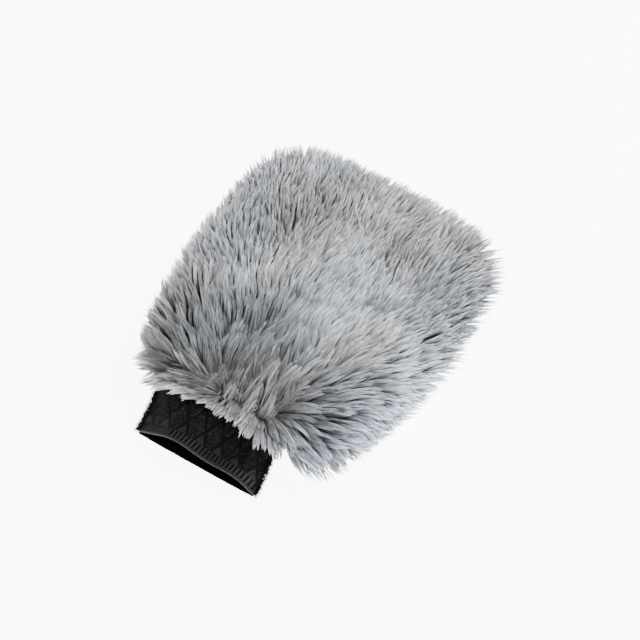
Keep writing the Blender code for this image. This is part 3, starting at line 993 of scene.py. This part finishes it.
def ribs(x, y):
    """The border's upright ribs, and the plain left part with two sunk lines; low values are the
    grooves, which are painted dark as shade.
    """
    ribbed = smooth(((x - CUFF_X) / CUFF_HALF_W + 1 - 2 * RIB_START) / 0.06)
    slanted = x - 0.12 * (y - BAND_MOUTH_Y)
    rib = 0.5 + 0.5 * np.cos(2 * PI * slanted / RIB_PITCH)
    rib = smooth((rib - 0.35) / 0.5)
    way = (y - BAND_MOUTH_Y) / RIB_BAND
    ends = smooth(way / 0.10) * smooth((1 - way) / 0.12)
    plain = 0.35 + 0.65 * (1 - smooth((0.10 - np.abs(way - 0.82)) / 0.06))
    return mix(plain * 0.5, mix(0.75, rib, ends), ribbed)


knit_noise = make_noise(31, 0.004, 24)
heather_noise = make_noise(32, 0.0016, 30)


def knit_relief(x, y):
    line, heather = lattice(x, y)
    stitch = np.sin(2 * PI * x / 0.0012) * np.sin(2 * PI * y / 0.0016)
    bumps = 0.00007 * knit_noise(np.stack([x, y, 0 * x], -1)) + 0.00004 * stitch
    return -0.00045 * line + 0.00010 * heather + bumps


def rib_relief(x, y):
    return -0.0006 * (1 - ribs(x, y)) + 0.00015


def wall_height(half, x, y, lift):
    """Height of a point that is lift outside of a wall's inner face."""
    inside = upper_wall_inside if half == "upper" else lower_wall_inside
    return inside(x, y) + HALVES[half] * lift


def wall_grid(half, y_root, y_mouth, rows, relief):
    """Inside and outside points of a wall of the cuff, with relief on its outside."""
    across = np.linspace(-1, 1, CUFF_COLUMNS + 1)
    across, y = np.meshgrid(across, np.linspace(y_mouth, y_root, rows + 1))
    x = CUFF_X + CUFF_HALF_W * across
    thick = CUFF_WALL * mix(1.0, 0.35, np.abs(across) ** 10)
    inner = wall_height(half, x, y, 0.0)
    outer = wall_height(half, x, y, thick + relief(x, y))
    if half == "lower":
        outer = np.maximum(outer, TABLE_GAP)
    return [np.stack([cuff_x(across, y), y, height], -1) for height in (inner, outer)]


def finish_knit(nodes, colour, roughness, fleck, depth):
    """The knit's last nodes: painted shade that makes the cuff's inside nearly black, and finely rough.
    """
    nodes.bump(fleck, depth)
    # painted shade: the inner faces are painted nearly black for the dark inside of the cuff
    inside_shaded_knit = nodes.blend("MIX", nodes.attribute("inner"), colour, (*grey(0.0004), 1.0))
    return nodes.set(Base_Color=inside_shaded_knit, Roughness=roughness, Specular_IOR_Level=0.12)


def cuff_knit_material():
    nodes = Nodes("cuff_jacquard_knit")
    fleck = nodes.noise(800.0, 4.0, on_cloth=True)
    blotch = nodes.noise(260.0, 3.0, on_cloth=True)
    ground = nodes.ramp(fleck, [(0.40, grey(0.0010)), (0.52, grey(0.0055, 0.03)),
                                (0.64, grey(0.0150, 0.04))])
    worn = nodes.ramp(blotch, [(0.35, grey(0.35)), (0.65, grey(1.5))])
    shaded = nodes.blend("MULTIPLY", 1.0, ground, worn)
    pale = nodes.ramp(fleck, [(0.3, grey(0.009, 0.05)), (0.7, grey(0.024, 0.05))])
    filled = nodes.blend("MIX", nodes.attribute("heather"), shaded, pale)
    lined = nodes.blend("MIX", nodes.attribute("line"), filled, (*grey(0.0004), 1.0))
    return finish_knit(nodes, lined, 0.85, fleck, 0.0004)


def cuff_rib_material():
    nodes = Nodes("cuff_rib_knit")
    fleck = nodes.noise(1800.0, 2.0, on_cloth=True)
    rib = nodes.attribute("rib")
    # painted shade: the border is painted dark in the grooves between its ribs and in its two sunk lines
    colour = nodes.ramp(rib, [(0.15, grey(0.0005)), (0.55, grey(0.006)), (1.0, grey(0.024, 0.02))])
    worn = nodes.ramp(fleck, [(0.3, grey(0.75)), (0.7, grey(1.25))])
    return finish_knit(nodes, nodes.blend("MULTIPLY", 1.0, colour, worn), 0.8, fleck, 0.0003)


def plain_knit_material(name, dark, light):
    nodes = Nodes(name)
    fleck = nodes.noise(1500.0, 2.0, on_cloth=True)
    nodes.bump(fleck, 0.0003)
    return nodes.set(Base_Color=nodes.ramp(fleck, [(0.3, dark), (0.7, light)]), Roughness=0.75,
                     Specular_IOR_Level=0.15)


def add_wall_piece(name, half, grid, material, slot, node, **marks):
    """A knitted piece of a wall. Its marks are the same on both faces; inner is 1 on the inside."""
    obj = make_slab(name, *grid, material, HALVES[half])
    for mark, values in marks.items():
        set_attribute(obj, mark, np.tile(values.ravel(), 2))
    # inner is 1 on the faces that get the painted shade of the cuff's inside
    low_face = 1.0 if half == "upper" else 0.0
    set_attribute(obj, "inner", np.repeat([low_face, 1.0 - low_face], grid[0][..., 0].size))
    keep_cloth_place(obj)
    ride_cuff(obj, slot, node)


def add_cuff_wall(half, knit, rib_knit):
    grid = wall_grid(half, CUFF_ROOT_Y, BAND_ROOT_Y + 0.0001, KNIT_ROWS, knit_relief)
    line, heather = lattice(grid[1][..., 0], grid[1][..., 1])
    heather = heather * np.clip(0.75 + 0.25 * heather_noise(grid[1]), 0, 1)
    add_wall_piece(f"cuff_{half}_knit", half, grid, knit, "cuff_knit", f"cuff_{half}_panel",
                   line=line, heather=heather)
    grid = wall_grid(half, BAND_ROOT_Y, BAND_MOUTH_Y - WELT_R, BAND_ROWS, rib_relief)
    add_wall_piece(f"cuff_{half}_ribs", half, grid, rib_knit, "cuff_rib", f"cuff_{half}_rib_band",
                   rib=ribs(grid[1][..., 0], grid[1][..., 1]))


def tube(points, radius, sides):
    """Points and faces of a closed tube along points, which may carry their own radii."""
    count = len(points)
    radius = np.broadcast_to(np.asarray(radius, float), (count,))
    tangent = unit(np.gradient(points, axis=0))
    guide = np.where(np.abs(tangent[:, 2:]) > 0.9, np.array([[1.0, 0, 0]]), UP[None])
    across = unit(np.cross(tangent, guide))
    over = np.cross(across, tangent)
    turn = 2 * PI * np.arange(sides) / sides
    rings = (points[:, None] + across[:, None] * (radius[:, None] * np.cos(turn))[..., None]
             + over[:, None] * (radius[:, None] * np.sin(turn))[..., None])
    index = np.arange(count * sides).reshape(count, sides)
    after = np.roll(index, -1, axis=1)
    quads = np.stack([index[:-1], index[1:], after[1:], after[:-1]], -1).reshape(-1, 4)
    first = np.stack([np.full(sides, count * sides), index[0], after[0]], -1)
    last = np.stack([np.full(sides, count * sides + 1), after[-1], index[-1]], -1)
    all_points = np.concatenate([rings.reshape(-1, 3), points[:1], points[-1:]])
    return all_points, quads, np.concatenate([first, last])


def add_tubes(name, parts, material):
    """Several tubes as one object."""
    points, quads, tris, first = [], [], [], 0
    for part_points, part_quads, part_tris in parts:
        points.append(part_points)
        quads.append(part_quads + first)
        tris.append(part_tris + first)
        first += len(part_points)
    faces = [np.concatenate(quads), np.concatenate(tris)]
    return make_mesh(name, np.concatenate(points), faces, material)


def cuff_row(half, y, lift, inset, count):
    """Points across the cuff at one y, lift outside of a wall's inner face."""
    across = (1.0 - inset / CUFF_HALF_W) * np.linspace(-1, 1, count)
    y = np.full(count, y)
    z = wall_height(half, CUFF_X + CUFF_HALF_W * across, y, lift)
    return np.stack([cuff_x(across, y), y, z], -1)


def way_along(line):
    """How far along the line each of its points is."""
    return np.concatenate(([0], np.cumsum(np.linalg.norm(np.diff(line, axis=0), axis=1))))


def points_at(line, way, places):
    return np.stack([np.interp(places, way, line[:, axis]) for axis in range(3)], -1)


def stitches(row, length, gap, radius, sink):
    """Single stitches along a row of close points: each a short bowed thread whose ends sink in."""
    way = way_along(row)
    steps = np.linspace(0, 1, 7)
    bow = np.sin(PI * steps)
    parts = []
    place = gap
    while place + length < way[-1]:
        points = points_at(row, way, place + steps * length) + sink * (1 - bow[:, None])
        parts.append(tube(points, radius * (0.7 + 0.3 * bow), 8))
        place += length + gap
    return parts


def overlock_parts(side):
    """Thread wound round the cuff's side edge, with a chain of loops on its top."""
    count = 520
    y = np.linspace(CUFF_ROOT_Y - 0.0005, CUFF_MOUTH_Y + 0.0008, count)
    centre = np.stack([cuff_x(side, y) - side * 0.0002, y, cuff_edge_z(y)], -1)
    turns = (CUFF_ROOT_Y - CUFF_MOUTH_Y) / OVERLOCK_PITCH
    angle = 2 * PI * turns * np.linspace(0, 1, count)
    wind = np.stack([0.0013 * np.cos(angle), 0 * angle, 0.0017 * np.sin(angle)], -1)
    loops = np.stack([0.0009 * np.cos(angle * 0.5), 0.0004 * np.sin(angle), 0 * angle + 0.0019], -1)
    core = centre[::8]
    return [tube(core, 0.0011, 10), tube(centre + wind, 0.00033, 7), tube(centre + loops, 0.00028, 7)]


def fuzz_lines(side, count, rng):
    """Short loose fibres that stick out of an overlocked edge."""
    y = rng.uniform(CUFF_MOUTH_Y + 0.001, CUFF_ROOT_Y, count)
    roots = np.stack([cuff_x(side, y) + side * 0.0006, y, cuff_edge_z(y)], -1)
    roots += rng.normal(0, 0.0006, (count, 3))
    aslant, rise = rng.normal(0, 0.6, count), rng.normal(0.2, 0.6, count)
    out = np.stack([np.full(count, float(side)), aslant, rise], -1)
    aside = unit(rng.normal(size=(count, 3)))
    length = rng.uniform(0.0014, 0.0040, count)[:, None, None]
    share = np.linspace(0, 1, 6)[None, :, None]
    line = roots[:, None] + length * share * (unit(out)[:, None] + 0.6 * share * aside[:, None])
    line[..., 2] = np.maximum(line[..., 2], TABLE_GAP)
    return line


def add_cuff_half(half, side, welt_knit, thread):
    """The rolled edge and the join stitches of one wall."""
    row = cuff_row(half, CUFF_MOUTH_Y + WELT_R, WELT_R + GAP / 2, 0.0005, 260)
    if half == "lower":
        row[:, 2] = np.maximum(row[:, 2], WELT_R + TABLE_GAP)
    swell = 1.0 + 0.05 * knit_noise(row) + 0.04 * np.sin(2 * PI * row[:, 0] / 0.0012)
    welt = add_tubes(f"cuff_{half}_welt_roll", [tube(row, WELT_R * swell, 14)], welt_knit)
    row = cuff_row(half, CUFF_ROOT_Y - 0.003, CUFF_WALL + 0.0004, 0.002, 400)
    parts = stitches(row, 0.0026, 0.0012, 0.0004, -side * 0.0006 * UP)
    seam = add_tubes(f"cuff_{half}_join_seam", parts, thread)
    for obj, slot, node in ((welt, "cuff_welt", "welt"), (seam, "thread", "join_stitching")):
        keep_cloth_place(obj)
        ride_cuff(obj, slot, f"cuff_{half}_{node}")


def add_cuff_side(name, side, thread, rng):
    """The overlocked edge of one side, and the fuzz on it."""
    edge = add_tubes(f"cuff_{name}_overlock_seam", overlock_parts(side), thread)
    lines = fuzz_lines(side, FUZZ_FIBRES, rng)
    same = np.ones(FUZZ_FIBRES)
    looks = (same, 0.00020 * same, same, same, 0 * same)
    fuzz = build_strands(f"cuff_{name}_fuzz", lines, *looks, thread, flat=1.0)
    for obj in (edge, fuzz):
        keep_cloth_place(obj)
        ride_cuff(obj, "overlock_thread", f"cuff_{name}_overlock")


def add_cuff():
    knit = cuff_knit_material()
    rib_knit = cuff_rib_material()
    # painted shade: the lower welt's knit is a darker copy of the upper welt's
    welt_knits = {
        "upper": plain_knit_material("cuff_upper_welt_knit", grey(0.010), grey(0.018, 0.02)),
        "lower": plain_knit_material("cuff_lower_welt_shaded_knit", grey(0.0008), grey(0.003, 0.02))}
    navy = plain_knit_material("overlock_thread", (0.0008, 0.0008, 0.0014), (0.004, 0.0045, 0.008))
    black = plain_knit_material("join_thread", grey(0.001), grey(0.004))
    for half, side in HALVES.items():
        add_cuff_wall(half, knit, rib_knit)
        add_cuff_half(half, side, welt_knits[half], black)
    rng = np.random.default_rng(77)
    for name, side in (("left", -1), ("right", 1)):
        add_cuff_side(name, side, navy, rng)


def add_root_sleeve(knit):
    """Thin inner tube from the pouch into the cuff, which bridges the fold."""
    rows, columns = 22, 120
    y_root, y_inside = CUFF_ROOT_Y + 0.0012, CUFF_ROOT_Y - 0.0130
    t, y = np.meshgrid(np.linspace(-0.985, 0.985, columns + 1), np.linspace(y_inside, y_root, rows + 1))
    x = CUFF_X + CUFF_HALF_W * t
    level_y = np.minimum(y, CUFF_ROOT_Y)
    edge = cuff_edge_z(level_y)
    for half, side in HALVES.items():
        outer = wall_height(half, x, level_y, -0.0002)
        outer = edge + side * np.maximum(side * (outer - edge), 0.0004)
        inner = edge + side * np.maximum(side * (outer - edge) - 0.0006, 0.0001)
        faces = [np.stack([x, y, height], -1) for height in (inner, outer)]
        obj = make_slab(f"cuff_{half}_root_sleeve", *faces, knit, side)
        keep_cloth_place(obj)
        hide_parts(f"cuff_{half}_panel")
        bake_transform(obj)


# ---------------------------------------------------------------- seam round the core

def core_edge(grow_out, count):
    """Points along the core's outline, from one side of the cuff's notch round to the other."""
    turn = np.linspace(0, 2 * PI, 8 * count, endpoint=False) - PI / 2
    u, v = np.cos(turn), np.sin(turn)
    size = np.maximum(np.abs(u), np.abs(v))
    half_w, half_l = CORE_HALF_W + grow_out, CORE_HALF_L + grow_out
    x, y = outline(u / size, v / size, half_w, half_l, half_l)
    notch = (np.abs(x - CUFF_X) < NOTCH_HALF_W) & (y < 0)
    first = np.where(notch)[0]
    start = first[first < len(x) // 2].max() + 1
    x, y, notch = np.roll(x, -start), np.roll(y, -start), np.roll(notch, -start)
    line = np.stack([x, y, np.full(len(x), SEAM_Z)], -1)[~notch]
    way = way_along(line)
    return points_at(line, way, np.linspace(0, way[-1], count))


def add_edge_seam():
    """The tape that binds the layers, and a row of stitches on either face of it."""
    weave = woven_material("tape_weave", (0.010, 0.010, 0.011), (0.04, 0.04, 0.042), 0.0006)
    pale_thread = thread_material("edge_thread", (0.10, 0.10, 0.105), (0.26, 0.26, 0.27))
    points, quads, tris = tube(core_edge(TAPE_ROOM / 2, 900), TAPE_ROOM / 2, 12)
    points[:, 2] = SEAM_Z + (points[:, 2] - SEAM_Z) * TAPE_HALF_H / (TAPE_ROOM / 2)
    tape = make_mesh("perimeter_edge_tape", points, [quads, tris], weave)
    finish_piece(tape, "mitt_body", "seam_tape", "perimeter_seam_tape")
    parts = []
    for side in HALVES.values():
        row = core_edge(TAPE_ROOM * 0.35, 2400) + side * (TAPE_HALF_H + 0.0002) * UP
        parts += stitches(row, 0.0025, 0.0008, 0.0004, -side * 0.0007 * UP)
    seam = add_tubes("perimeter_edge_seam", parts, pale_thread)
    finish_piece(seam, "mitt_body", "thread", "perimeter_stitching")


# ---------------------------------------------------------------- stage, light and camera

def add_floor():
    nodes = Nodes("white_table")
    white = nodes.set(Base_Color=(0.9, 0.9, 0.9, 1.0), Roughness=0.9,
                      Emission_Color=(1.0, 1.0, 1.0, 1.0), Emission_Strength=9.0)
    size = TABLE_HALF
    corners = [(-size, -size, 0), (size, -size, 0), (size, size, 0), (-size, size, 0)]
    floor = make_mesh("table", corners, [np.array([[0, 1, 2, 3]])], white)


def add_area_light(name, place, size, power):
    data = bpy.data.lights.new(name, "AREA")
    data.shape = "DISK"
    data.size = size
    data.energy = power
    light = bpy.data.objects.new(name, data)
    bpy.context.scene.collection.objects.link(light)
    light.location = place
    light.rotation_euler = (BODY_CENTRE - Vector(place)).to_track_quat("-Z", "Y").to_euler()


def add_world():
    world = bpy.data.worlds.new("studio")
    world.use_nodes = True
    background = world.node_tree.nodes["Background"]
    background.inputs["Color"].default_value = (1.0, 1.0, 1.0, 1.0)
    background.inputs["Strength"].default_value = 0.35
    bpy.context.scene.world = world


def add_camera():
    data = bpy.data.cameras.new("camera")
    data.lens = CAMERA_LENS
    camera = bpy.data.objects.new("camera", data)
    bpy.context.scene.collection.objects.link(camera)
    a, e = math.radians(CAMERA_AZIMUTH), math.radians(CAMERA_ELEVATION)
    back = Vector((math.sin(a) * math.cos(e), -math.cos(a) * math.cos(e), math.sin(e)))
    camera.location = Vector(CAMERA_AIM) + back * CAMERA_DISTANCE
    camera.rotation_euler = (-back).to_track_quat("-Z", "Y").to_euler()
    bpy.context.scene.camera = camera


# ---------------------------------------------------------------- the whole scene

fur = fur_material("pile_fur")
add_pile(fur)
add_undercoats()
add_core()
add_cuff()
add_seam_fringe(fur)
add_root_sleeve(plain_knit_material("sleeve_knit", grey(0.0010), grey(0.0040)))
add_edge_seam()
add_floor()
add_world()
add_area_light("key", (0.6, 0.9, 1.4), 0.5, 57.0)
add_area_light("front", (-0.1, -1.2, 1.0), 1.2, 8.0)
add_camera()
